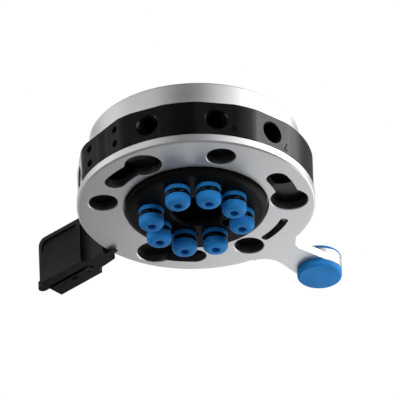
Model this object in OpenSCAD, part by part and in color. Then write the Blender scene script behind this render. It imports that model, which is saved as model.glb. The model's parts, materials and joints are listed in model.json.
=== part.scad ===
// Manual robotic tool changer, robot side. A flange plate bolts to the robot wrist and carries an
// eight-port air body, a hand-turned lock ring on a slide bushing, a centre plate with eight air
// nozzles, and an electrical module on the side. Millimetres. The origin is the centre of the
// robot mounting face, +Z points to the robot, and the tool side faces -Z.

/* [Flange plate] */
// Step from the body in to the flange plate
plate_step = 5.5; // [5.3:0.1:5.7]
// Height of the flange plate
plate_h = 13; // [12:0.5:14]
// Radius of the centring boss that enters the robot flange
pilot_r = 15.75; // [15.5:0.05:15.75]
// Height of the centring boss
pilot_h = 3; // [2:0.5:4]
// Radius of the robot bolt circle
robot_circle_r = 25; // [24.5:0.25:25.5]
// Radius of each robot bolt hole
robot_hole_r = 3.3; // [3.2:0.05:3.4]
// Radius of the passage through the middle of the changer
core_r = 10; // [9:0.5:10]

/* [Body] */
// Step from the lock ring in to the body
body_step = 0.4; // [0.2:0.1:0.6]
// Height of the body between flange plate and lock ring
body_h = 16; // [15.5:0.5:17]
// Depth of each port flat below the body's round
port_flat_cut = 0.85; // [0.8:0.05:1]
// Depth of each module flat below the body's round
module_flat_cut = 1.6; // [1.4:0.1:1.8]
// Tapping radius of the air ports
port_r = 4.35; // [4:0.05:4.4]
// Depth of the air ports
port_depth = 9; // [8:0.5:10]
// Radius of the air passages
passage_r = 1.8; // [1.4:0.1:2]
// Tapping radius of the module screw holes
module_tap_r = 1.65; // [1.6:0.05:1.7]

/* [Lock ring] */
// Outside radius of the lock ring
ring_r = 50; // [49.8:0.1:50.2]
// Thickness of the lock ring
ring_h = 4; // [3.6:0.2:4.4]
// Radius of the bore that surrounds the centre plate
ring_bore_r = 30.3; // [30.2:0.05:30.5]
// Wall between the bore and each keyhole's wide end
key_wall = 0.9; // [0.7:0.1:1.1]
// Wall between each keyhole's wide end and the ring's edge
rim_wall = 3; // [2.8:0.1:3.2]
// Half width of the narrow part of each keyhole
key_slot_half = 4.65; // [4.4:0.05:4.8]
// Angle from the wide end to the narrow end of each keyhole
key_span = 25; // [24:0.5:26]
// Radius of the screwdriver holes
access_r = 6.15; // [5.8:0.05:6.3]
// Half width of the stop slot
stop_slot_half = 1.8; // [1.7:0.05:1.9]
// Angle between the end centres of the stop slot
stop_slot_span = 21.6; // [21:0.2:22]
// Radius of the stop pin
stop_pin_r = 1.2; // [1:0.1:1.3]

/* [Grip arm] */
// Distance from the ring's edge to the grip's axis
arm_length = 24; // [23:0.5:25]
// Radius of the grip
grip_r = 9.4; // [9.2:0.1:9.6]
// Thickness of the arm outside the ring
arm_h = 3.5; // [3.2:0.1:3.8]
// Height of the arm's round end, under the upper cap
boss_h = 5.65; // [5.2:0.05:6]
// Half of the angle between the arm's two sides
arm_half_angle = 6.75; // [6.5:0.05:6.9]
// Height of the lower grip cap
cap_h = 3.3; // [3:0.1:3.8]
// Height of the upper grip cap
cap_top_h = 1.6; // [1.5:0.1:2]
// Radius of the rounded rim of each grip cap
cap_round = 1.2; // [0.8:0.1:1.4]

/* [Centre plate] */
// Gap between the lock ring's bore and the centre plate
centre_gap = 0.5; // [0.4:0.05:0.6]
// Height by which the centre plate stands below the lock ring
centre_drop = 3; // [2.6:0.2:3.4]
// Height of the chamfer around the centre plate's face
centre_chamfer_h = 1.25; // [1:0.05:1.5]
// Width of that chamfer
centre_chamfer_w = 1.9; // [1.5:0.1:2.1]
// Radius of the index hole
index_r = 2.1; // [2:0.05:2.5]

/* [Air nozzles] */
// Radius of the nozzle circle
nozzle_circle_r = 19; // [18.9:0.05:19.2]
// Outside radius of each nozzle
nozzle_r = 5.3; // [5.1:0.05:5.4]
// Height of the flange that sits on the centre plate
nozzle_base_h = 1.9; // [1.7:0.1:2.1]
// Height of the seal groove
nozzle_groove_h = 2.2; // [2.1:0.05:2.4]
// Height of the nozzle head below the groove
nozzle_head_h = 4.2; // [3.9:0.1:4.5]
// Radius of the rounded nose
nozzle_round = 2; // [1.6:0.1:2.2]
// Radius of the air hole
nozzle_hole_r = 1.775; // [1.6:0.025:1.8]

/* [Electrical module] */
// Distance from the module flat to the housing
neck_length = 13.6; // [13:0.1:14]
// Length of the housing
box_length = 24; // [23:0.1:25]
// Half width of the housing
box_half = 6.5; // [6.3:0.05:6.7]
// Radius of the housing's top outer corner
box_round = 3.5; // [3:0.25:4]
// Thickness of the mounting foot
foot_h = 3; // [2.6:0.1:3.2]
// Width of the gap beside the bottom cover
cover_gap = 1.5; // [1.2:0.1:1.8]

/* [Hidden] */
$fn = 64;

// Named clearances
slide_gap = 0.25;
bush_gap = 0.05;
fit_gap = 0.02;
pin_gap = 0.05;
cut = 0.1;

// Radii that follow the lock ring
body_r = ring_r - body_step;
plate_r = body_r - plate_step;
port_flat_r = body_r - port_flat_cut;
module_flat_r = body_r - module_flat_cut;
centre_r = ring_bore_r - centre_gap;
key_wide_r = (ring_r - rim_wall - ring_bore_r - key_wall) / 2;
key_circle_r = ring_bore_r + key_wall + key_wide_r;
grip_reach = ring_r + arm_length;

// Levels, from the robot down to the nozzle tips
joint_z = -plate_h;
floor_z = joint_z - body_h;
ring_top = floor_z - slide_gap;
ring_low = ring_top - ring_h;
lip_h = 2.2;
lip_low = ring_top - lip_h;
hub_low = lip_low - slide_gap;
face_z = ring_low - centre_drop;
base_z = face_z - nozzle_base_h;
groove_z = base_z - nozzle_groove_h;
tip_z = groove_z - nozzle_head_h;
port_rise = 8;
port_z = floor_z + port_rise;
module_rise = 8.5;
module_mid_z = floor_z + module_rise;

// Radii of the nested parts around the hub
lip_w = 1.75;
bush_w = 1.5;
lip_r = ring_bore_r - lip_w;
bush_r = lip_r - bush_gap;
hub_r = bush_r - bush_w;
spigot_r = 18;
spigot_h = 2;

// Angles, counted from +X towards +Y
port_angles = [30, 65, 96, 150, 194, 216, 254, 330];
nozzle_angles = [30, 70, 110, 150, 210, 250, 290, 330];
plain_flat_a = 0;
module_a = -80;
key_angles = [20, 140, 260];
access_angles = [70, 200, 330];
stop_a0 = 164.7;
stop_pin_a = stop_a0 - (stop_slot_half - stop_pin_r - pin_gap) / key_circle_r * 57.2958;
stop_travel = stop_slot_span + 2 * (stop_a0 - stop_pin_a);
grip_a = 190.3;
body_screw_angles = [46.5, 176.5, 306.5];
centre_screw_spots = [[21.5, 0], [13.9, 90], [21.5, 180], [13.9, 270]];
index_a = 180;
index_circle_r = 15.7;
pocket_wall = 0.4;
pocket_r = key_wide_r + pocket_wall;
pocket_h = 2.8;
pocket_turn = 3.5;

// Fastener sizes, as thread radius and head radius
m5_r = 2.5;
m5_head = 4.25;
m3_r = 1.5;
m3_head = 2.75;
m4_r = 2;
m5_head_h = 5;
m5_hex = 2.3;
m3_head_h = 3;
m3_hex = 1.25;
m4_head = 3.35;
m4_head_h = 1.9;
m4_hex = 1.3;
m4_length = 7.5;
robot_head_r = 5.5;
robot_head_h = 6.8;
body_cbore_h = 5.6;
m5_length = 20;
m3_length = 18;
dowel_r = 4;
dowel_out_r = 3;
dowel_out = 3.4;
dowel_in = 7.9;
clamp_head = 3.6;
clamp_head_h = 0.8;
clamp_hex = 1.3;
clamp_end = 1.8;
mini_r = 1.5;
mini_head = 1.6;
mini_length = 6.5;
mini_head_h = 0.85;
mini_slot = 0.5;
seal_ring_r = 4.25;
seal_cord_r = 1;
pass_ring_r = 3.9;
pass_cord_r = 0.6;
stem_r = 2.9;
core_neck_r = 3.2;

// Arm details
arm_root = 4;
boss_step = 0.1;
fillet_a = 6.5;
fillet_b = 9.3;

// Module details
box_inner = module_flat_r + neck_length;
box_outer = box_inner + box_length;
box_drop = 1.5;
box_low = ring_low - box_drop;
top_gap = 0.3;
box_top = joint_z - top_gap;
hole_dy = 9;
hole_dz = 3.5;
foot_half = 12;
cover_h = 1.8;
groove_depth = 2.2;
cover_wall = 0.6;
cover_y0 = -box_half + cover_wall;
cover_y1 = 0.4;
cover_x1 = box_outer - cover_wall;
cover_screw_in = 2.4;
cover_screw_x = box_inner + cover_screw_in;
cover_screw_y = -1.1;
neck_root = 2;
neck_low0 = 2.7;
neck_low1 = 3.6;
neck_high0 = 4.75;
neck_high1 = 4;
neck_round = 2.3;
neck_top_gap = 1;
ring_clear = 0.5;
prong_in = 4.2;
prong_out = 3;
prong_y0 = 0.4;
prong_y1 = 2.4;
prong_h = 0.9;
lug_y0 = 0.6;
lug_y1 = 4.4;
lug_out = 2.6;
lug_h = 3.2;
lug_r = 1.9;
grip_wall = 1.9;
grip_slot_h = 6;
grip_slot_depth = 1;
grip_slot_r = 2.4;
latch_x = 9.3;
latch_w = 2.9;
latch_y = -1.9;
latch_h = 1.6;
cover_end_r = cover_y1 - cover_screw_y;

silver = [0.80, 0.81, 0.83];
satin = [0.72, 0.73, 0.75];
black_metal = [0.06, 0.06, 0.065];
black_plastic = [0.045, 0.045, 0.05];
blue = [0.11, 0.42, 0.76];
rubber = [0.02, 0.02, 0.02];
steel = [0.55, 0.56, 0.58];
bearing = [0.78, 0.76, 0.68];

// Puts a part at radius r and angle a
module at(a, r, z = 0) {
  rotate([0, 0, a])
    translate([r, 0, z])
      children();
}

// Round cutter between two levels, with a chamfer c at its lower mouth
module hole_up(r, z0, z1, c = 0) {
  translate([0, 0, z0 - cut])
    cylinder(r = r, h = z1 - z0 + cut);
  if (c > 0)
    translate([0, 0, z0 - cut])
      cylinder(r1 = r + c + cut, r2 = r, h = c + cut);
}

// Curved cutter of half width w on the circle r, from angle a0 to a1, with round ends a touch
// wider than the slot
module arc_slot(r, a0, a1, w, z0, z1) {
  v = w - 0.03;
  rotate([0, 0, a0])
    rotate_extrude(angle = a1 - a0)
      translate([r - v, z0 - cut])
        square([2 * v, z1 - z0 + cut]);
  for (a = [a0, a1])
    at(a, r)
      hole_up(w, z0, z1);
}

// Flat cutter that leaves a flat at distance d in direction a
module flat_cut(a, d, z0, z1) {
  half = sqrt(body_r * body_r - d * d) + 1;
  rotate([0, 0, a])
    translate([d, -half, z0 - cut])
      cube([body_r - d + 1, 2 * half, z1 - z0 + 2 * cut]);
}

// Straight round cutter between two points
module bar(p, q, r) {
  v = q - p;
  l = norm(v);
  translate(p)
    rotate([0, acos(v[2] / l), atan2(v[1], v[0])])
      cylinder(r = r, h = l);
}

// Socket head cap screw with its head's underside at z = 0 and its thread pointing down
module cap_screw(r, head_r, head_h, length, hex_r) {
  difference() {
    union() {
      translate([0, 0, -length])
        cylinder(r = r, h = length + 0.5);
      cylinder(r = head_r, h = head_h);
    }
    translate([0, 0, head_h * 0.45])
      cylinder(r = hex_r, h = head_h, $fn = 6);
  }
}

module flange_plate() {
  color(silver)
    difference() {
      union() {
        rotate_extrude()
          polygon([[0, joint_z], [plate_r - 0.4, joint_z], [plate_r, joint_z + 0.4],
                   [plate_r, -0.5], [plate_r - 0.5, 0], [0, 0]]);
        cylinder(r = pilot_r, h = pilot_h - 0.6);
        translate([0, 0, pilot_h - 0.6])
          cylinder(r1 = pilot_r, r2 = pilot_r - 0.6, h = 0.6);
      }
      translate([0, 0, joint_z - 1])
        cylinder(r = core_r, h = plate_h + pilot_h + 2);
      translate([0, 0, joint_z - 1])
        cylinder(r = spigot_r + fit_gap, h = spigot_h + 1 + 0.1);
      for (a = [45, 135, 225, 315])
        at(a, robot_circle_r) {
          hole_up(robot_hole_r, joint_z, 1);
          hole_up(robot_head_r, joint_z, joint_z + robot_head_h);
        }
      at(0, robot_circle_r, -dowel_in - cut)
        cylinder(r = dowel_r + fit_gap, h = dowel_in + 1);
      for (a = body_screw_angles)
        at(a, key_circle_r)
          hole_up(m5_r + fit_gap, joint_z, joint_z + 9);
    }
}

// Stepped pin that fixes the angle of the changer on the robot flange: its thick end is pressed
// into the plate and its 6 mm end slides into the robot
module robot_dowel() {
  color(steel)
    at(0, robot_circle_r) {
      translate([0, 0, -dowel_in])
        cylinder(r = dowel_r, h = dowel_in);
      cylinder(r = dowel_out_r, h = dowel_out);
      translate([0, 0, dowel_out])
        cylinder(r1 = dowel_out_r, r2 = dowel_out_r - 0.5, h = 0.6);
    }
}

module body_ring() {
  color(black_metal)
    difference() {
      union() {
        rotate_extrude()
          polygon([[0, floor_z], [body_r - 0.3, floor_z], [body_r, floor_z + 0.3],
                   [body_r, joint_z - 0.3], [body_r - 0.3, joint_z], [0, joint_z]]);
        translate([0, 0, joint_z - 1])
          cylinder(r = spigot_r, h = spigot_h + 1);
        translate([0, 0, hub_low])
          cylinder(r = hub_r, h = floor_z - hub_low + 1);
      }
      translate([0, 0, hub_low - 1])
        cylinder(r = core_r, h = 60);
      for (a = [plain_flat_a, module_a])
        flat_cut(a, module_flat_r, floor_z, joint_z);
      for (a = port_angles) {
        flat_cut(a, port_flat_r, floor_z, joint_z);
        at(a, port_flat_r - port_depth, port_z)
          rotate([0, 90, 0]) {
            cylinder(r = port_r, h = port_depth + 2);
            translate([0, 0, port_depth - 0.75])
              cylinder(r1 = port_r, r2 = port_r + 0.85, h = 0.85);
          }
      }
      for (i = [0:7]) {
        pa = port_angles[i];
        na = nozzle_angles[i];
        pr = port_flat_r - port_depth + 0.7;
        nr = nozzle_circle_r;
        bar([nr * cos(na), nr * sin(na), port_z], [pr * cos(pa), pr * sin(pa), port_z],
            passage_r - 0.15);
        at(na, nr, hub_low - cut)
          cylinder(r = passage_r, h = port_z + 2.4 - hub_low + cut);
        // Groove of the seal around each passage
        at(na, nr)
          difference() {
            hole_up(4.55, hub_low, hub_low + 1.25);
            hole_up(3.25, hub_low - 1, hub_low + 2);
          }
      }
      for (a = [plain_flat_a, module_a])
        for (y = [-hole_dy, hole_dy])
          for (z = [-hole_dz, hole_dz])
            rotate([0, 0, a])
              translate([module_flat_r - 8, y, module_mid_z + z])
                rotate([0, 90, 0])
                  cylinder(r = module_tap_r + (a == module_a ? m4_r - module_tap_r : 0), h = 9);
      // Pockets in which the stud heads turn
      for (a = key_angles)
        for (t = [0, pocket_turn])
          at(a - key_span + t, key_circle_r)
            hole_up(pocket_r, floor_z, floor_z + pocket_h);
      for (a = body_screw_angles)
        at(a, key_circle_r) {
          hole_up(m5_r + 0.25, floor_z, joint_z + 1);
          hole_up(m5_head + 0.25, floor_z, floor_z + body_cbore_h);
        }
      for (s = centre_screw_spots)
        at(s[1], s[0]) {
          hole_up(m3_r + 0.1, hub_low, joint_z + 3);
          translate([0, 0, joint_z - 4])
            cylinder(r = m3_head + 0.2, h = 8);
        }
      at(stop_pin_a, key_circle_r)
        hole_up(stop_pin_r + fit_gap, floor_z, floor_z + 4.6);
    }
}

// Screws that hold the body on the flange plate, heads on the tool side
module body_screws() {
  color(steel)
    for (a = body_screw_angles)
      at(a, key_circle_r, floor_z + body_cbore_h)
        rotate([180, 0, 0])
          cap_screw(m5_r, m5_head, m5_head_h, m5_length - 0.6, m5_hex);
}

// Plain bearing between the hub and the lock ring
module slide_bushing() {
  color(bearing)
    difference() {
      translate([0, 0, hub_low + 0.1])
        cylinder(r = bush_r, h = floor_z - hub_low - 0.15);
      translate([0, 0, hub_low - 1])
        cylinder(r = hub_r + fit_gap, h = 10);
    }
}

// Outline of one side of the arm: a fillet between the ring and the side line at angle a
module arm_fillet(a, s, rho) {
  d = asin(rho / (ring_r + rho));
  c = [(ring_r + rho) * cos(a + s * d), (ring_r + rho) * sin(a + s * d)];
  t = (ring_r + rho) * cos(d);
  n = [-sin(a), cos(a)];
  m = ring_r - arm_root;
  difference() {
    polygon([c, [t * cos(a) - s * n[0], t * sin(a) - s * n[1]], [m * cos(a), m * sin(a)],
             [m * cos(a + s * d), m * sin(a + s * d)]]);
    translate(c)
      circle(r = rho);
  }
}

module arm_outline() {
  b = grip_reach * 1.02;
  m = ring_r - arm_root;
  polygon([[m * cos(grip_a - arm_half_angle), m * sin(grip_a - arm_half_angle)],
           [b * cos(grip_a - arm_half_angle), b * sin(grip_a - arm_half_angle)],
           [b * cos(grip_a + arm_half_angle), b * sin(grip_a + arm_half_angle)],
           [m * cos(grip_a + arm_half_angle), m * sin(grip_a + arm_half_angle)]]);
  rotate(grip_a)
    translate([grip_reach, 0])
      circle(r = grip_r);
  arm_fillet(grip_a - arm_half_angle, -1, fillet_a);
  arm_fillet(grip_a + arm_half_angle, 1, fillet_b);
}

// Turned ring with three keyholes for the tool's studs, three screwdriver holes and a stop slot
module lock_ring() {
  color(silver)
    difference() {
      union() {
        rotate_extrude()
          polygon([[lip_r, lip_low], [ring_bore_r, lip_low], [ring_bore_r, ring_low + 0.3],
                   [ring_bore_r + 0.3, ring_low], [ring_r - 0.7, ring_low],
                   [ring_r, ring_low + 0.7], [ring_r, ring_top - 0.3], [ring_r - 0.3, ring_top],
                   [lip_r, ring_top]]);
        translate([0, 0, ring_low])
          linear_extrude(arm_h)
            arm_outline();
        at(grip_a, grip_reach, ring_low + 1)
          cylinder(r = grip_r - boss_step, h = boss_h - 1);
      }
      for (a = key_angles) {
        at(a, key_circle_r)
          hole_up(key_wide_r, ring_low, ring_top + 1, 0.3);
        arc_slot(key_circle_r, a - key_span, a, key_slot_half, ring_low, ring_top + 1);
      }
      for (a = access_angles)
        at(a, key_circle_r)
          hole_up(access_r, ring_low, ring_top + 1, 0.3);
      arc_slot(key_circle_r, stop_a0, stop_a0 + stop_slot_span, stop_slot_half, ring_low,
               ring_top + 1);
      at(grip_a, grip_reach)
        hole_up(m4_r + 0.2, ring_low, ring_low + 10);
    }
}

// Round cap of height h with a rounded rim, its flat side at z = 0 and its dome pointing down
module grip_cap(h) {
  rotate_extrude()
    intersection() {
      union() {
        translate([0, -h + cap_round])
          square([grip_r, h - cap_round]);
        translate([0, -h])
          square([grip_r - cap_round, h]);
        translate([grip_r - cap_round, -h + cap_round])
          circle(r = cap_round);
      }
      translate([0, -h])
        square([grip_r + 1, h]);
    }
}

module grip_cap_lower() {
  color(blue)
    at(grip_a, grip_reach, ring_low)
      difference() {
        grip_cap(cap_h);
        translate([0, 0, -clamp_end - cut])
          cylinder(r = m4_r + fit_gap, h = clamp_end + 1);
      }
}

module grip_cap_upper() {
  color(blue)
    at(grip_a, grip_reach, ring_low + boss_h)
      difference() {
        mirror([0, 0, 1])
          grip_cap(cap_top_h);
        translate([0, 0, -1])
          cylinder(r = m4_r + 0.2, h = 10);
        translate([0, 0, cap_top_h - clamp_head_h - 0.1])
          cylinder(r = clamp_head + 0.3, h = 5);
      }
}

// Low-head screw that clamps the two caps on the arm
module grip_screw() {
  top = boss_h + cap_top_h - clamp_head_h - 0.1;
  color(steel)
    at(grip_a, grip_reach, ring_low + top)
      cap_screw(m4_r, clamp_head, clamp_head_h, top + clamp_end, clamp_hex);
}

// Fixed pin in the stop slot of the lock ring
module stop_pin() {
  color(steel)
    at(stop_pin_a, key_circle_r) {
      translate([0, 0, ring_low + 0.5])
        cylinder(r = stop_pin_r, h = floor_z + 4.5 - ring_low - 0.5);
      translate([0, 0, ring_low + 0.2])
        cylinder(r1 = stop_pin_r - 0.3, r2 = stop_pin_r, h = 0.3);
    }
}

module centre_plate() {
  color(black_metal)
    difference() {
      rotate_extrude()
        polygon([[core_r, hub_low], [core_r, face_z + 0.95], [core_r + 0.95, face_z],
                 [centre_r - centre_chamfer_w, face_z],
                 [centre_r, face_z + centre_chamfer_h], [centre_r, hub_low]]);
      for (a = nozzle_angles)
        at(a, nozzle_circle_r) {
          hole_up(stem_r + fit_gap, face_z, hub_low + 1);
          // Shallow seat around the nozzle's flange
          hole_up(nozzle_r + 0.3, face_z, face_z + 0.4);
        }
      for (s = centre_screw_spots)
        at(s[1], s[0])
          translate([0, 0, face_z + 1])
            cylinder(r = m3_r + fit_gap, h = 8);
      at(index_a, index_circle_r)
        hole_up(index_r, face_z, face_z + 4, 0.25);
    }
}

// Screws that hold the centre plate, reached from the robot side before the plate is fitted
module centre_plate_screws() {
  color(steel)
    for (s = centre_screw_spots)
      at(s[1], s[0], joint_z - 4)
        cap_screw(m3_r, m3_head, m3_head_h, m3_length, m3_hex);
}

// Rings between body and centre plate that seal the air passages
module passage_seals() {
  color(rubber)
    for (a = nozzle_angles)
      at(a, nozzle_circle_r, hub_low + 0.62)
        rotate_extrude()
          translate([pass_ring_r, 0])
            circle(r = pass_cord_r, $fn = 24);
}

// Nozzle with a threaded stem, a seal groove and a rounded nose that enters the tool side
module air_nozzle(i) {
  color(blue)
    at(nozzle_angles[i], nozzle_circle_r)
      difference() {
        union() {
          translate([0, 0, face_z])
            cylinder(r = stem_r, h = hub_low - face_z - 0.1);
          translate([0, 0, base_z])
            cylinder(r = nozzle_r, h = face_z + 0.4 - base_z);
          translate([0, 0, groove_z - 0.5])
            cylinder(r = core_neck_r, h = nozzle_groove_h + 1);
          rotate_extrude() {
            translate([0, tip_z + nozzle_round])
              square([nozzle_r, nozzle_head_h - nozzle_round]);
            translate([0, tip_z])
              square([nozzle_r - nozzle_round, nozzle_head_h]);
            translate([nozzle_r - nozzle_round, tip_z + nozzle_round])
              circle(r = nozzle_round);
          }
        }
        translate([0, 0, tip_z - 1])
          cylinder(r = nozzle_hole_r, h = 30);
      }
}

module air_nozzle_1() {
  air_nozzle(4);
}

module air_nozzle_2() {
  air_nozzle(5);
}

module air_nozzle_3() {
  air_nozzle(6);
}

module air_nozzle_4() {
  air_nozzle(7);
}

module air_nozzle_5() {
  air_nozzle(0);
}

module air_nozzle_6() {
  air_nozzle(1);
}

module air_nozzle_7() {
  air_nozzle(2);
}

module air_nozzle_8() {
  air_nozzle(3);
}

module nozzle_o_rings() {
  color(rubber)
    for (a = nozzle_angles)
      at(a, nozzle_circle_r, groove_z + nozzle_groove_h / 2)
        rotate_extrude()
          translate([seal_ring_r, 0])
            circle(r = seal_cord_r, $fn = 32);
}

// Outline of the bottom cover: a strip that ends in a half circle around its screw
module cover_outline(g) {
  translate([cover_screw_x, cover_screw_y])
    circle(r = cover_end_r + g);
  translate([cover_screw_x, cover_y0 - g])
    square([cover_x1 - cover_screw_x, cover_y1 - cover_y0 + 2 * g]);
  translate([cover_screw_x - cover_end_r, cover_y0 - g])
    square([cover_end_r + 1, cover_screw_y - cover_y0 + g]);
}

// Wedge that fades out downwards, cut by a rounded outline, for the finger grip in the wall
module finger_slot() {
  x0 = box_inner + grip_wall;
  x1 = box_outer - grip_wall + 0.2;
  z1 = box_top - grip_wall;
  intersection() {
    translate([x0 - 1, 0, 0])
      rotate([90, 0, 90])
        linear_extrude(x1 - x0 + 2)
          polygon([[box_half + 1, z1 + 1], [box_half - grip_slot_depth, z1 + 1],
                   [box_half - grip_slot_depth, z1], [box_half, z1 - grip_slot_h],
                   [box_half + 1, z1 - grip_slot_h]]);
    translate([0, box_half + 2, 0])
      rotate([90, 0, 0])
        linear_extrude(grip_slot_depth + 4) {
          translate([x0, z1 - grip_slot_h - 1])
            square([x1 - x0, grip_slot_h + 1 - grip_slot_r]);
          translate([x0 + 1, z1 - grip_slot_r - 1])
            square([x1 - grip_slot_r - x0 - 1, grip_slot_r + 1]);
          translate([x1 - grip_slot_r, z1 - grip_slot_r])
            circle(r = grip_slot_r);
          translate([x0 + 1, z1 - 1])
            circle(r = 1);
          translate([x0, z1 - grip_slot_r - 1])
            square([2, grip_slot_r]);
        }
  }
}

// Housing with its mounting foot, neck and index prong
module module_housing() {
  color(black_plastic)
    rotate([0, 0, module_a])
      difference() {
        union() {
          // Block, with its top outer corner rounded
          translate([0, box_half, 0])
            rotate([90, 0, 0])
              linear_extrude(2 * box_half) {
                translate([box_inner, box_low])
                  square([box_length, box_top - box_round - box_low]);
                translate([box_inner, box_low])
                  square([box_length - box_round, box_top - box_low]);
                translate([box_outer - box_round, box_top - box_round])
                  circle(r = box_round);
              }
          // Neck between foot and block, flared where it meets the block
          difference() {
            translate([0, 0, box_low])
              linear_extrude(box_top - neck_top_gap - box_low)
                difference() {
                  polygon([[module_flat_r + neck_root, -neck_low0],
                           [box_inner - neck_round, -neck_low1],
                           [box_inner, -neck_low1 - neck_round],
                           [box_inner + 1, -neck_low1 - neck_round],
                           [box_inner + 1, neck_high1 + neck_round],
                           [box_inner, neck_high1 + neck_round],
                           [box_inner - neck_round, neck_high1],
                           [module_flat_r + neck_root, neck_high0]]);
                  translate([box_inner - neck_round, -neck_low1 - neck_round])
                    circle(r = neck_round);
                  translate([box_inner - neck_round, neck_high1 + neck_round])
                    circle(r = neck_round);
                }
            rotate([0, 0, -module_a])
              translate([0, 0, box_low - 1])
                cylinder(r = ring_r + ring_clear, h = ring_top + 0.9 - box_low + 1);
          }
          // Mounting foot on the body's flat
          translate([module_flat_r, -foot_half, floor_z + 0.7])
            cube([foot_h, 2 * foot_half, body_h - 1.1]);
          // Prong that points under the ring's edge
          translate([ring_r - prong_in, prong_y0, box_low])
            cube([prong_in + prong_out, prong_y1 - prong_y0, prong_h]);
          // Rounded lug at the foot of the outer wall
          translate([box_outer - 0.5, lug_y0, box_low])
            cube([lug_out + 0.5 - 0.5, lug_y1 - lug_y0, lug_h]);
          translate([box_outer + lug_out - 0.5, (lug_y0 + lug_y1) / 2, box_low])
            cylinder(r = lug_r, h = lug_h);
        }
        for (y = [-hole_dy, hole_dy])
          for (z = [-hole_dz, hole_dz])
            translate([module_flat_r, y, module_mid_z + z])
              rotate([0, 90, 0]) {
                translate([0, 0, -1])
                  cylinder(r = m4_r + 0.2, h = foot_h + 2);
                translate([0, 0, foot_h - m4_head_h - 0.3])
                  cylinder(r1 = m4_r + 0.2, r2 = m4_head + 0.1, h = m4_head_h + 0.3);
              }
        finger_slot();
        // Pocket of the bottom cover
        translate([0, 0, box_low - 1])
          linear_extrude(cover_h + 1.1)
            intersection() {
              cover_outline(0.12);
              translate([box_inner - 3, -box_half + cover_wall - 0.15])
                square([60, 20]);
            }
        translate([0, 0, box_low - 1])
          linear_extrude(groove_depth + 1)
            difference() {
              cover_outline(cover_gap);
              translate([box_inner - 10, -20])
                square([60, 20 + cover_screw_y]);
            }
        translate([cover_screw_x, cover_screw_y, box_low])
          cylinder(r = mini_r + fit_gap, h = mini_length + 1.5);
      }
}

module module_screws() {
  color(steel)
    rotate([0, 0, module_a])
      for (y = [-hole_dy, hole_dy])
        for (z = [-hole_dz, hole_dz])
          translate([module_flat_r, y, module_mid_z + z])
            rotate([0, 90, 0])
              difference() {
                union() {
                  translate([0, 0, -m4_length])
                    cylinder(r = m4_r - fit_gap, h = m4_length + foot_h - m4_head_h - 0.1);
                  translate([0, 0, foot_h - m4_head_h - 0.1])
                    cylinder(r1 = m4_r - fit_gap, r2 = m4_head, h = m4_head_h);
                }
                translate([0, 0, foot_h - m4_head_h + 0.5])
                  cylinder(r = m4_hex, h = m4_head_h + 1, $fn = 6);
              }
}

module module_cover() {
  color(black_plastic)
    rotate([0, 0, module_a])
      difference() {
        translate([0, 0, box_low])
          linear_extrude(cover_h)
            cover_outline(0);
        translate([cover_screw_x, cover_screw_y, box_low - 1]) {
          cylinder(r = mini_head, h = 5);
          cylinder(r = mini_head + 0.15, h = 1.9);
        }
        // Small step for a tool that lifts the cover
        translate([box_inner + latch_x, latch_y, box_low - 1])
          cube([latch_w, latch_h, 1.5]);
      }
}

// Small slotted screw that holds the bottom cover
module module_cover_screw() {
  color(black_metal)
    rotate([0, 0, module_a])
      translate([cover_screw_x, cover_screw_y, 0])
        difference() {
          union() {
            translate([0, 0, box_low + 0.1])
              cylinder(r = mini_head, h = mini_head_h);
            translate([0, 0, box_low + mini_head_h])
              cylinder(r = mini_r - fit_gap, h = mini_length);
          }
          rotate([0, 0, 133])
            translate([-mini_head - 1, -mini_slot / 2, box_low - 1])
              cube([2 * mini_head + 2, mini_slot, 1.1 + mini_slot]);
        }
}

flange_plate();
robot_dowel();
body_ring();
body_screws();
slide_bushing();
lock_ring();
grip_cap_lower();
grip_cap_upper();
grip_screw();
stop_pin();
centre_plate();
centre_plate_screws();
passage_seals();
air_nozzle_1();
air_nozzle_2();
air_nozzle_3();
air_nozzle_4();
air_nozzle_5();
air_nozzle_6();
air_nozzle_7();
air_nozzle_8();
nozzle_o_rings();
module_housing();
module_screws();
module_cover();
module_cover_screw();
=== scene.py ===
# %% [markdown]
# # A robotic tool changer, seen from the tool side
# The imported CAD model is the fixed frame. This notebook keeps its shapes, rebuilds the parts whose
# edges and threads the eye can follow, and gives every surface a finish made of shader nodes.

import json
import math

import bmesh
import bpy
import numpy as np
from mathutils import Matrix, Vector


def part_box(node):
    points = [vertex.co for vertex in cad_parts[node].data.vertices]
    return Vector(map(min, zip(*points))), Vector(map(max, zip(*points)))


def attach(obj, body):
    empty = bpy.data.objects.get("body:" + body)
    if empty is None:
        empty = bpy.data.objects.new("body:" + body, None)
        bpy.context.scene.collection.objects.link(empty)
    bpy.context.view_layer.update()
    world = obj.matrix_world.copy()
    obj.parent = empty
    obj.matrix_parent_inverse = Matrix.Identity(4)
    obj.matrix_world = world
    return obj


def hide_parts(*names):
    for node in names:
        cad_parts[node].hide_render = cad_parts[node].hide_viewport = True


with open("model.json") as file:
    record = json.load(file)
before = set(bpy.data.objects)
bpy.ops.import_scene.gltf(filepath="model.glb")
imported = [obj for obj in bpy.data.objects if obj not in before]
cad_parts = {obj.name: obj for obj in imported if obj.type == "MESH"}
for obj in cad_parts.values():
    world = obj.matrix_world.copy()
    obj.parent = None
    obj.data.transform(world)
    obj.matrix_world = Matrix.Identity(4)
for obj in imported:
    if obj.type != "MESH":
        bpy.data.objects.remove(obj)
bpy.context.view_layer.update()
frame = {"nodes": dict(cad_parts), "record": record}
nodes = frame["nodes"]
MM = 0.001
BODY = "changer_body"
RING = "lock_ring_body"

# %% [markdown]
# ## Sizes that the scene shares with the model
# Levels and circles come from the boxes of the CAD nodes, so the scene follows the model if it is
# packed again with other sizes.

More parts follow.
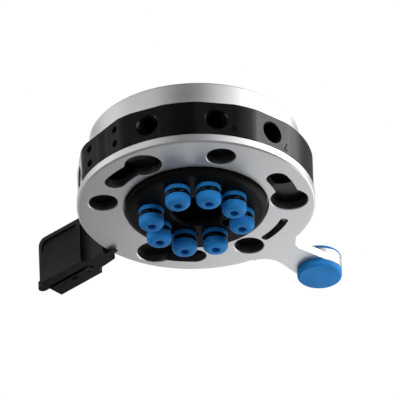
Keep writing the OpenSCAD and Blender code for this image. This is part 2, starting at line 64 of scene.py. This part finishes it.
# %% Levels and circles
BODY_HEIGHT = 18.0 * MM
ring_low, ring_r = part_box("lock_ring")[0].z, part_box("lock_ring")[1].x
face_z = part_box("centre_plate")[0].z
body_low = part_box("body_ring")[1].z - BODY_HEIGHT       # the hub reaches lower than this face
print("ring face", round(ring_low / MM, 2), "plate face", round(face_z / MM, 2))


def polar(r, degrees, z=0.0):
    """Point at radius r and angle degrees around the changer's axis, at height z."""
    a = math.radians(degrees)
    return Vector((r * math.cos(a), r * math.sin(a), z))


# %% [markdown]
# ## Camera
# The changer is looked at from below, as it hangs on a robot. The camera is orthographic, so all
# circles of one plane keep the same ellipse, and it leans by two degrees.

# %% Camera
AZIMUTH, ELEVATION, ROLL = 143.57, -32.48, -1.863
VIEW_WIDTH = 167.5 * MM
AIM_RIGHT, AIM_UP = 1.62 * MM, 2.38 * MM          # from the ring's centre to the view's

azimuth, elevation, roll = (math.radians(v) for v in (AZIMUTH, ELEVATION, ROLL))
back = Vector((math.sin(azimuth) * math.cos(elevation),
               -math.cos(azimuth) * math.cos(elevation), math.sin(elevation)))
level_right = (-back).cross(Vector((0, 0, 1))).normalized()
level_up = level_right.cross(-back)
right = level_right * math.cos(roll) + level_up * math.sin(roll)
up = level_up * math.cos(roll) - level_right * math.sin(roll)
aim = Vector((0, 0, ring_low)) + right * AIM_RIGHT + up * AIM_UP

lens = bpy.data.cameras.new("view")
lens.type = "ORTHO"
lens.ortho_scale = VIEW_WIDTH
lens.clip_start, lens.clip_end = 0.01, 10.0
camera = bpy.data.objects.new("camera", lens)
camera.rotation_mode = "QUATERNION"
camera.rotation_quaternion = Matrix((right, up, back)).transposed().to_quaternion()
camera.location = aim + back * 1.0
bpy.context.scene.collection.objects.link(camera)
bpy.context.scene.camera = camera
print("camera at", [round(v, 3) for v in camera.location])

# %% [markdown]
# ## Node helpers
# A material is written as a sum in Python. `Val` wraps a socket, and each operator on it adds one
# Math node. Every other node comes from `Nodes.node`, which sets its choices before its sockets.


# %% Node helpers
class Val:
    """A number that a node gives. Operators on it add Math nodes."""

    def __init__(self, tree, socket):
        self.tree, self.socket = tree, socket

    def math(self, operation, *others):
        return self.tree.node("ShaderNodeMath", {"operation": operation}, self, *others)

    def __add__(self, other):
        return self.math("ADD", other)

    def __sub__(self, other):
        return self.math("SUBTRACT", other)

    def __mul__(self, other):
        return self.math("MULTIPLY", other)

    def __rsub__(self, other):
        return self.tree.node("ShaderNodeMath", {"operation": "SUBTRACT"}, other, self)

    __radd__, __rmul__ = __add__, __mul__

    def step(self, low, high):
        """Smooth rise from 0 at low to 1 at high."""
        return self.tree.node("ShaderNodeMapRange", {"interpolation_type": "SMOOTHSTEP"},
                              self, low, high, 0.0, 1.0)


class Nodes:
    """Adds nodes to one node tree."""

    def __init__(self, tree):
        self.tree = tree

    def node(self, kind, settings, *values, output=0, **named):
        """Node of that kind. Its settings come first, then the values or links of its sockets,
        by number or by name. The output is given by number or name too."""
        n = self.tree.nodes.new(kind)
        for key, value in settings.items():
            setattr(n, key, value)
        for key, value in [*enumerate(values), *named.items()]:
            if isinstance(value, Val):
                self.tree.links.new(value.socket, n.inputs[key])
            else:
                n.inputs[key].default_value = value
        return Val(self, n.outputs[output])

    def dot(self, vector, axis):
        """Part of a vector along an axis."""
        return self.node("ShaderNodeVectorMath", {"operation": "DOT_PRODUCT"}, vector, axis,
                         output="Value")

    def mix(self, factor, a, b):
        """Colour between a and b, where a may be a node's colour."""
        n = self.tree.nodes.new("ShaderNodeMix")
        n.data_type = "RGBA"
        self.tree.links.new(factor.socket, n.inputs["Factor"])
        for key, value in (("A", a), ("B", b)):
            socket = [s for s in n.inputs if s.name == key and s.type == "RGBA"][0]
            if isinstance(value, Val):
                self.tree.links.new(value.socket, socket)
            else:
                socket.default_value = (*value, 1.0)
        return Val(self, [s for s in n.outputs if s.type == "RGBA"][0])


class Material(Nodes):
    """The nodes of one material, with its Principled shader and Object coordinates."""

    def __init__(self, name, **constants):
        self.material = bpy.data.materials.new(name)
        self.material.use_nodes = True
        super().__init__(self.material.node_tree)
        self.shader = self.tree.nodes["Principled BSDF"]
        for socket, value in constants.items():
            self.shader.inputs[socket.replace("_", " ")].default_value = value
        self.place = self.node("ShaderNodeTexCoord", {}, output="Object")

    def feed(self, socket, value):
        self.tree.links.new(value.socket, self.shader.inputs[socket])

    def noise(self, scale, detail, place=None):
        return self.node("ShaderNodeTexNoise", {}, Vector=place or self.place, Scale=scale,
                         Detail=detail)

    def bump(self, height, distance, strength):
        self.feed("Normal", self.node("ShaderNodeBump", {}, Height=height, Distance=distance,
                                      Strength=strength))

    def axis_radius(self):
        """Distance from the changer's axis, and the height, in metres."""
        x, y, z = (self.node("ShaderNodeSeparateXYZ", {}, self.place, output=i)
                   for i in range(3))
        return (x * x + y * y).math("SQRT"), z


# %% [markdown]
# ## Turned aluminium
# The flange plate and the lock ring are turned on a lathe and clear anodised. The tool leaves
# grooves that run round the axis, so the pattern depends on radius and height only. The upright
# walls of the lock ring's holes are given a darker colour, as painted shade.


# %% Turned aluminium
SILVER = (0.68, 0.69, 0.70)
RING_HOLES = (31.0 * MM, 47.6 * MM)          # the lock ring's holes lie between these radii
FADE = 0.4 * MM


def turned_aluminium(name, colour, groove, rough, shaded_radii=(0.0, 0.0)):
    """Silver metal. Upright walls between the two shaded radii, those of the holes, are darker:
    painted shade.
    """
    t = Material(name, Metallic=1.0)
    r, z = t.axis_radius()
    rings = t.noise(1.0, 3.0, t.node("ShaderNodeCombineXYZ", {}, r * groove, z * groove, 0.0))
    haze = t.noise(60.0, 3.0)
    skin_tone = t.mix((rings * 0.6 + haze * 0.4).step(0.3, 0.7), [c * 0.96 for c in colour],
                      colour)
    normal = t.node("ShaderNodeNewGeometry", {}, output="Normal")
    level = t.node("ShaderNodeSeparateXYZ", {}, normal, output="Z").math("ABSOLUTE")
    upright = 1.0 - level.step(0.3, 0.7)
    # Painted shade: upright walls between the shaded radii get 0.45 of the colour, for the shade
    # inside the ring's holes.
    inside = r.step(shaded_radii[0], shaded_radii[0] + FADE) * (1.0 - r.step(shaded_radii[1], shaded_radii[1] + FADE))
    t.feed("Base Color", t.mix(upright * inside, skin_tone, [c * 0.45 for c in colour]))
    t.feed("Roughness", rough + (rings - 0.5) * 0.10 + (haze - 0.5) * 0.06)
    t.bump(rings, 0.01 * MM, 0.25)
    return t.material


silver_ring = turned_aluminium("turned_aluminium", SILVER, 2600.0, 0.46, RING_HOLES)
silver_plate = turned_aluminium("satin_aluminium", SILVER, 1800.0, 0.46)
print("ring and plate finishes:", silver_ring.name, silver_plate.name)

# %% [markdown]
# ## Black anodised aluminium and black plastic
# Both are dark with a broad soft shine. The anodised metal has a very fine grain, and the moulded
# plastic a coarser one that breaks the shine up. The centre plate shines less than the body.
# Inside the air ports the metal is rougher, and its colour is darkened there as painted shade.


# %% Black finishes
# Bores of the body where the finish is dull and the colour is darkened as painted shade.
SHADED_PORT_BORES = (ring_r - 1.8 * MM, body_low + 0.1 * MM, body_low + 15.0 * MM)


def fine_grain(name, colour, grain, depth, rough, shaded_bores=None, **constants):
    """Finish with fine grain. Inside the bores, given as a radius and two heights, it is dull and
    darkened as painted shade.
    """
    t = Material(name, **constants)
    fine, cloud = t.noise(grain, 2.0), t.noise(90.0, 2.0)
    tone = t.mix(cloud.step(0.35, 0.65), colour, [c * 1.25 for c in colour])
    shine = rough + (fine - 0.5) * 0.12 + (cloud - 0.5) * 0.05
    if shaded_bores:
        r, z = t.axis_radius()
        edge = 0.3 * MM
        dull_and_shaded = ((1.0 - r.step(shaded_bores[0] - edge, shaded_bores[0])) * z.step(shaded_bores[1], shaded_bores[1] + edge)
                * (1.0 - z.step(shaded_bores[2] - edge, shaded_bores[2])))
        # Painted shade: inside the bores the colour falls to 0.3 of itself, for the dark in the
        # ports; the roughness rises there too.
        tone = t.mix(dull_and_shaded, tone, [c * 0.3 for c in colour])
        shine = shine + dull_and_shaded * (0.95 - rough)
    t.feed("Base Color", tone)
    t.feed("Roughness", shine)
    t.bump(fine, depth, 0.3)
    return t.material


black_metal = fine_grain("black_anodised", (0.003, 0.003, 0.0033), 9000.0, 0.008 * MM, 0.29,
                         SHADED_PORT_BORES, Specular_IOR_Level=0.24)
black_plate = fine_grain("black_plate", (0.003, 0.003, 0.0033), 9000.0, 0.008 * MM, 0.46,
                         Specular_IOR_Level=0.08)
black_plastic = fine_grain("black_plastic", (0.007, 0.007, 0.0075), 3500.0, 0.02 * MM, 0.42,
                           Specular_IOR_Level=0.16)
print("black finishes:", black_metal.name, black_plate.name, black_plastic.name)

# %% [markdown]
# ## Blue plastic, rubber, steel and bearing plastic
# The nozzles and grip caps are the same smooth blue plastic. The rest is small or hidden. Each
# CAD node names its finish in the record, and only the stop pin departs from it: it is given
# black steel, which keeps the end of its slot dark.

# %% Small finishes
blue_plastic = fine_grain("blue_plastic", (0.022, 0.23, 0.62), 4000.0, 0.01 * MM, 0.50,
                          Specular_IOR_Level=0.10)
# Painted shade: the port threads are darker and less shiny than the black body, for the dark inside
# the ports.
thread_black_and_shade = fine_grain("thread_black_and_shade", (0.001, 0.001, 0.001), 5000.0, 0.01 * MM, 0.6,
                          Specular_IOR_Level=0.04)
engraved = fine_grain("engraved", (0.001, 0.001, 0.001), 5000.0, 0.01 * MM, 0.8,
                      Specular_IOR_Level=0.05)
seal_rubber = fine_grain("seal_rubber", (0.002, 0.002, 0.002), 5000.0, 0.01 * MM, 0.17,
                         Specular_IOR_Level=0.2)
bearing_plastic = fine_grain("bearing_plastic", (0.62, 0.58, 0.48), 5000.0, 0.01 * MM, 0.5)
steel = turned_aluminium("steel", (0.50, 0.51, 0.53), 3000.0, 0.30)
black_steel = fine_grain("black_steel", (0.006, 0.006, 0.006), 5000.0, 0.01 * MM, 0.35)

finishes = {"satin_aluminium": silver_plate, "turned_aluminium": silver_ring,
            "black_anodised": black_metal, "black_plastic": black_plastic,
            "blue_plastic": blue_plastic, "seal_rubber": seal_rubber, "steel": steel,
            "bearing_plastic": bearing_plastic, "black_steel": black_steel}
slot_of = {s["node"]: s["material_slot"] for s in frame["record"]["subparts"]}
for name, node in nodes.items():
    node.data.materials.clear()
    node.data.materials.append(finishes[slot_of[name]])
# The stop pin is given black steel instead of its steel, so the end of its slot stays dark.
nodes["stop_pin"].data.materials[0] = black_steel
print(len(finishes), "finishes on", len(nodes), "nodes")

# %% [markdown]
# ## Edges that catch the light
# A machined edge is always broken by a small chamfer or radius, and that thin bright line is what
# makes a solid look real. The CAD mesh stays as it is: a copy of it has its doubles merged and its
# flat triangles joined, and a Bevel modifier then rounds every edge sharper than 30 degrees. The
# modifier narrows its bevel where edges of the mesh run close together. So the body and the module
# keep nearly sharp edges, and the lock ring, where nothing of it would be left, has no bevel.


# %% Softened copies
def finished(obj, body, name_of_slot, *replaced):
    """Link a piece, let it ride on a body and give it its finish."""
    bpy.context.scene.collection.objects.link(obj)
    obj.data.materials.clear()
    obj.data.materials.append(finishes[name_of_slot])
    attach(obj, body)
    if replaced:
        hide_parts(*replaced)
    return obj


def softened(node, body, width=0.0, segments=2, sharp=math.radians(30.0)):
    """Copy of a CAD node with merged doubles and joined flats, its edges rounded by that width."""
    name = node + "_soft"
    mesh = nodes[node].data.copy()
    mesh.name = name
    if "custom_normal" in mesh.attributes:    # stale once the mesh is merged and bevelled
        mesh.attributes.remove(mesh.attributes["custom_normal"])
    shell = bmesh.new()
    shell.from_mesh(mesh)
    bmesh.ops.remove_doubles(shell, verts=shell.verts, dist=0.002 * MM)
    bmesh.ops.dissolve_limit(shell, angle_limit=math.radians(0.4), verts=shell.verts,
                             edges=shell.edges)
    for face in shell.faces:                  # smooth on curved walls, flat on flat faces
        face.smooth = any(math.radians(0.5) < edge.calc_face_angle(0.0) < sharp
                          for edge in face.edges)
    shell.to_mesh(mesh)
    shell.free()
    mesh.set_sharp_from_angle(angle=sharp)
    obj = finished(bpy.data.objects.new(name, mesh), body, slot_of[node], node)
    if width:
        edges = obj.modifiers.new("edges", "BEVEL")
        edges.width, edges.segments = width, segments
        edges.limit_method, edges.angle_limit = "ANGLE", sharp
        edges.use_clamp_overlap = True
        edges.harden_normals = True
    print(node, len(mesh.polygons), "faces before the bevel")
    return obj


softened("flange_plate", BODY, 0.3 * MM)
softened("body_ring", BODY, 0.18 * MM)
softened("lock_ring", RING)
softened("centre_plate", BODY, 0.15 * MM).data.materials[0] = black_plate
softened("module_housing", BODY, 0.25 * MM, 3)
softened("module_cover", BODY, 0.12 * MM)
softened("grip_cap_lower", RING, 0.25 * MM, 3)
softened("grip_cap_upper", RING, 0.25 * MM, 3)

# %% [markdown]
# ## Air nozzles
# Each nozzle is turned from plastic: a flange that sits on the plate, a groove for its rubber
# ring, and a head with a rounded nose and an air hole. An outline of corners, each rounded by its
# own length, is carried once round the nozzle's axis, so the surface closes both ways.


# %% Turned surfaces
def rounded(corners, cuts, steps=6):
    """Closed outline whose corner P becomes a conic arc from P - cut * u to P + cut * v, with u
    and v the directions in and out, and the weight that makes it a circle's arc."""
    p = np.array(corners, float)
    u = p - np.roll(p, 1, 0)
    v = np.roll(p, -1, 0) - p
    u /= np.linalg.norm(u, axis=1)[:, None]
    v /= np.linalg.norm(v, axis=1)[:, None]
    c = np.array(cuts, float)[:, None]
    start, stop = (p - c * u)[:, None], (p + c * v)[:, None]
    w = np.sqrt(np.clip((1 + (u * v).sum(1)) / 2, 0, 1))[:, None, None]
    t = np.linspace(0, 1, steps)[None, :, None]
    k0, k1, k2 = (1 - t) ** 2, 2 * w * t * (1 - t), t ** 2
    return ((k0 * start + k1 * p[:, None] + k2 * stop) / (k0 + k1 + k2)).reshape(-1, 2)


def turned(outline, centres, around=64):
    """Outline point (r, z) at turn a lies at centre + (r cos a, r sin a, z), for each centre."""
    a = np.linspace(0, 2 * np.pi, around, endpoint=False)[:, None]
    r, z = outline[:, 0][None], outline[:, 1][None]
    one = np.stack((r * np.cos(a), r * np.sin(a), z + 0 * a), -1)
    return np.array(centres, float)[:, None, None] + one[None]


def skin(name, grids, close_ends=True):
    """Mesh of grids[k, i, j], closed along j, and along i too or else with two end faces. Its
    volume, summed over the faces, tells whether they point inwards and have to be turned."""
    grids = np.asarray(grids)
    count, n, m = grids.shape[:3]
    rows = n if close_ends else n - 1
    k, i, j = np.meshgrid(np.arange(count), np.arange(rows), np.arange(m), indexing="ij")
    at = lambda a, b: (k * n + a % n) * m + b % m
    quads = np.stack((at(i, j), at(i + 1, j), at(i + 1, j + 1), at(i, j + 1)), -1).reshape(-1, 4)
    p = grids.reshape(-1, 3)
    a, b, c, d = (p[quads[:, q]] for q in range(4))
    inside_out = np.einsum("ij,ij->i", a, np.cross(b, c) + np.cross(c, d)).sum() < 0
    faces = quads.tolist()
    if not close_ends:
        ring = np.arange(m)
        for start in range(count):
            faces += [(start * n * m + ring).tolist(),
                      ((start * n + n - 1) * m + ring[::-1]).tolist()]
    if inside_out:
        faces = [face[::-1] for face in faces]
    mesh = bpy.data.meshes.new(name)
    mesh.from_pydata(p.tolist(), [], faces)
    mesh.validate()
    mesh.shade_smooth()
    mesh.set_sharp_from_angle(angle=math.radians(38))
    return bpy.data.objects.new(name, mesh)


# %% Nozzles and their rings
HOLE_R, NECK_R, STEM_R = 1.775 * MM, 3.2 * MM, 2.9 * MM
GROOVE_HALF = 1.1 * MM
CORD_R, CORD_CENTRE_R = 1.06 * MM, 4.3 * MM
CUTS_MM = (0.1, 0.3, 2.3, 0.35, 0.15, 0.15, 0.3, 0.12, 0.05, 0.1)

ring_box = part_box("nozzle_o_rings")
groove_mid = (ring_box[0].z + ring_box[1].z) / 2
groove_low, groove_top = groove_mid - GROOVE_HALF, groove_mid + GROOVE_HALF
spots = []
for number in range(1, 9):
    node = f"air_nozzle_{number}"
    low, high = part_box(node)
    spots.append([(low.x + high.x) / 2, (low.y + high.y) / 2, 0.0])
    wide = (high.x - low.x) / 2
    outline = rounded([(HOLE_R, high.z), (HOLE_R, low.z), (wide, low.z), (wide, groove_low),
                       (NECK_R, groove_low), (NECK_R, groove_top), (wide, groove_top),
                       (wide, face_z), (STEM_R, face_z), (STEM_R, high.z)],
                      [cut * MM for cut in CUTS_MM])
    finished(skin(f"nozzle_{number}", turned(outline, [spots[-1]])), BODY, "blue_plastic", node)

turn = np.linspace(0, 2 * np.pi, 24, endpoint=False)
cord = np.stack((CORD_CENTRE_R + CORD_R * np.cos(turn), groove_mid + CORD_R * np.sin(turn)), -1)
finished(skin("nozzle_rings", turned(cord, spots)), BODY, "seal_rubber", "nozzle_o_rings")
print("nozzles at radius", round(math.hypot(*spots[0][:2]) / MM, 2), "mm")

# %% [markdown]
# ## Threads in the ports
# The side ports take G1/8 fittings and the bare flat takes M4 screws. A thread is a small ridge
# carried along a helix on the hole's wall. All threads of one size are one piece. The port
# threads are darker and duller than the body, as painted shade for the dark inside the ports.


# %% Threads
UP = np.array([0, 0, 1.0])


def outward(degrees):
    """Unit vectors at that angle around the axis: outwards, and sideways along the body."""
    a = math.radians(degrees)
    return np.array([math.cos(a), math.sin(a), 0]), np.array([-math.sin(a), math.cos(a), 0])


def threads(name, mouths, wall, crest, pitch, length, per_turn=32):
    """Ridge point at turn t lies at mouth - axis * pitch * t / 2 pi + r (e cos t + z sin t), with
    axis pointing out, e sideways, and r the wall's radius or the crest's, which fades in."""
    t = np.arange(0, 2 * np.pi * length / pitch, 2 * np.pi / per_turn)[:, None]
    fade = np.clip(np.minimum(t, t[-1] - t) / 3.0, 0.02, 1.0)
    r = np.concatenate((0 * t + wall, wall - (wall - crest) * fade, 0 * t + wall), 1)
    along = -pitch * (t / (2 * np.pi) + np.array([[-0.42, 0.0, 0.42]]))
    grids = []
    for mouth, degrees in mouths:
        axis, side = outward(degrees)
        grids.append(np.array(mouth) + along[..., None] * axis + (r * np.cos(t))[..., None] * side
                     + (r * np.sin(t))[..., None] * UP)
    return finished(skin(name, grids, close_ends=False), BODY, "black_anodised")


PORTS = {5: 30, 6: 65, 7: 96, 8: 150, 1: 194, 2: 216, 3: 254, 4: 330}     # number: degrees
PORT_WALL, PORT_CREST, PORT_PITCH = 4.37 * MM, 3.98 * MM, 0.907 * MM      # G1/8
M4_WALL, M4_CREST, M4_PITCH = 1.66 * MM, 1.45 * MM, 0.7 * MM
flat_r = ring_r - 1.25 * MM
port_z, m4_z = body_low + 8.0 * MM, body_low + 8.5 * MM
ports = threads("port_threads", [(polar(flat_r - 0.6 * MM, a, port_z), a)
                                 for a in PORTS.values()],
                PORT_WALL, PORT_CREST, PORT_PITCH, 6.6 * MM)
# The port threads get the darker thread finish, painted shade.
ports.data.materials[0] = thread_black_and_shade
threads("flat_threads", [((ring_r - 2.3 * MM, y * MM, m4_z + z * MM), 0)
                         for y in (-9, 9) for z in (-3.5, 3.5)],
        M4_WALL, M4_CREST, M4_PITCH, 6.0 * MM, 20)
print("threads in", len(PORTS), "ports and 4 screw holes")

# %% [markdown]
# ## Port numbers
# Each port has its number engraved beside it, upright when the tool side is held up. A text curve
# is made a mesh, scaled to its height, and laid flat on the body as a dark line.

# %% Numbers
DIGIT_HEIGHT, DIGIT_SIDE, DIGIT_Z = 3.5 * MM, 7.4 * MM, 3.7 * MM
INK = 0.02 * MM                                # how far the dark line stands off the flat

corners, faces = [], []
for number, degrees in PORTS.items():
    text = bpy.data.curves.new("number", "FONT")
    text.body, text.size, text.resolution_u = str(number), 1.0, 6
    holder = bpy.data.objects.new("number", text)
    glyph = bpy.data.meshes.new_from_object(holder)
    flat = np.empty(len(glyph.vertices) * 3)
    glyph.vertices.foreach_get("co", flat)
    flat = flat.reshape(-1, 3)
    low, high = flat.min(0), flat.max(0)
    flat = (flat - (high + low) / 2) / (high[1] - low[1]) * DIGIT_HEIGHT
    out, side = outward(degrees)
    middle = out * (flat_r + INK) + side * DIGIT_SIDE + UP * (body_low + DIGIT_Z)
    first = sum(len(c) for c in corners)
    faces += [[first + v for v in face.vertices] for face in glyph.polygons]
    corners.append(middle - flat[:, :1] * side - flat[:, 1:2] * UP)
    bpy.data.objects.remove(holder)
digits = bpy.data.meshes.new("port_numbers")
digits.from_pydata(np.concatenate(corners).tolist(), [], faces)
port_numbers = finished(bpy.data.objects.new("port_numbers", digits), BODY, "black_anodised")
digits.materials[0] = engraved
wall = port_numbers.modifiers.new("wall", "SOLIDIFY")
wall.thickness, wall.offset = 0.03 * MM, 0.0
print("numbers", len(digits.polygons), "faces")

# %% [markdown]
# ## Floor
# A plain pale floor lies well below the changer. Its colour is given to the camera as light, so it
# stays as pale as the wall behind, and it still takes the object's shadow.

# %% Floor
FLOOR_HALF, FLOOR_Z = 0.9, -1.1

plane = bpy.data.meshes.new("floor")
plane.from_pydata([(x * FLOOR_HALF, y * FLOOR_HALF, FLOOR_Z)
                   for x, y in ((-1, -1), (1, -1), (1, 1), (-1, 1))], [], [(0, 1, 2, 3)])
floor = bpy.data.objects.new("floor", plane)
bpy.context.scene.collection.objects.link(floor)
pale = Material("floor", Base_Color=(0.85, 0.85, 0.85, 1), Roughness=0.9,
                Specular_IOR_Level=0.2, Emission_Strength=1.0)
camera_ray, through = (pale.node("ShaderNodeLightPath", {}, output=f"Is {ray} Ray")
                       for ray in ("Camera", "Transmission"))
pale.feed("Emission Color", camera_ray.math("MAXIMUM", through) * 0.8)
plane.materials.append(pale.material)
print("floor at", FLOOR_Z, "m")

# %% [markdown]
# ## Light
# Five large soft lamps stand round the near side, the strongest ones to the right, and two small
# ones below give the underside its slow fall from right to left. A last one behind serves the far
# side.


# %% Lamps
def soft_lamp(name, azimuth_deg, elevation_deg, distance, size, power):
    """Square area lamp in that direction from the ring's centre, facing it."""
    lamp = bpy.data.lights.new(name, "AREA")
    lamp.shape, lamp.size, lamp.energy = "SQUARE", size, power
    obj = bpy.data.objects.new(name, lamp)
    e = math.radians(elevation_deg)
    d = polar(math.cos(e), azimuth_deg, math.sin(e))
    obj.rotation_mode = "QUATERNION"
    obj.location = Vector((0, 0, ring_low)) + d * distance
    obj.rotation_quaternion = d.to_track_quat("Z", "Y")
    obj.visible_camera = False
    bpy.context.scene.collection.objects.link(obj)


soft_lamp("lamp_right", 132, 30, 0.9, 0.55, 3.1)
soft_lamp("lamp_far_right", 152, 30, 0.9, 0.55, 2.65)
soft_lamp("lamp_front_right", 90, 5, 0.9, 0.55, 3.95)
soft_lamp("lamp_front_left", 10, 5, 0.9, 0.55, 2.85)
soft_lamp("lamp_left", -35, 8.5, 0.9, 0.6, 3.0)
soft_lamp("lamp_behind", 240, 28, 0.9, 0.55, 2.1)
soft_lamp("lamp_under", 181, -32, 0.36, 0.22, 0.55)
soft_lamp("lamp_under_far", 224, -26.5, 0.305, 0.14, 0.08)

# %% [markdown]
# ## Surroundings
# The changer hangs in front of a white wall. The world is white at strength 1 where the camera
# looks and where light passes through. Metal mirrors its surroundings, so reflections see that
# wall too, on the far side only and fading towards floor and ceiling, while the room in front
# stays dim, and the black parts keep a dark middle.

# %% World
FAR_SIDE = (-0.594, -0.804, 0.0)              # away from the camera, level
DIM_REFLECTED, DIM_DIFFUSE = 0.03, 0.02

world = bpy.data.worlds.new("studio")
bpy.context.scene.world = world
world.use_nodes = True
sky = Nodes(world.node_tree)
camera_ray, diffuse_ray, glossy_ray, through = (
    sky.node("ShaderNodeLightPath", {}, output=f"Is {ray} Ray")
    for ray in ("Camera", "Diffuse", "Glossy", "Transmission"))
direction = sky.node("ShaderNodeTexCoord", {}, output="Generated")
away = sky.dot(direction, FAR_SIDE).step(-0.3, 0.4)
height = sky.dot(direction, (0.0, 0.0, 1.0))
wall_behind = away * height.step(-0.3, -0.05) * (1.0 - height.step(0.1, 0.45) * 0.8)
strength = (camera_ray.math("MAXIMUM", through) + glossy_ray * (wall_behind + DIM_REFLECTED)
            + diffuse_ray * DIM_DIFFUSE).math("MINIMUM", 1.0)
background = sky.tree.nodes["Background"]
background.inputs["Color"].default_value = (1, 1, 1, 1)
sky.tree.links.new(strength.socket, background.inputs["Strength"])
print("world of", len(sky.tree.nodes), "nodes")

# %% [markdown]
# ## Finish
# The view transform is Standard.

# %% Finish
bpy.context.scene.view_settings.view_transform = "Standard"
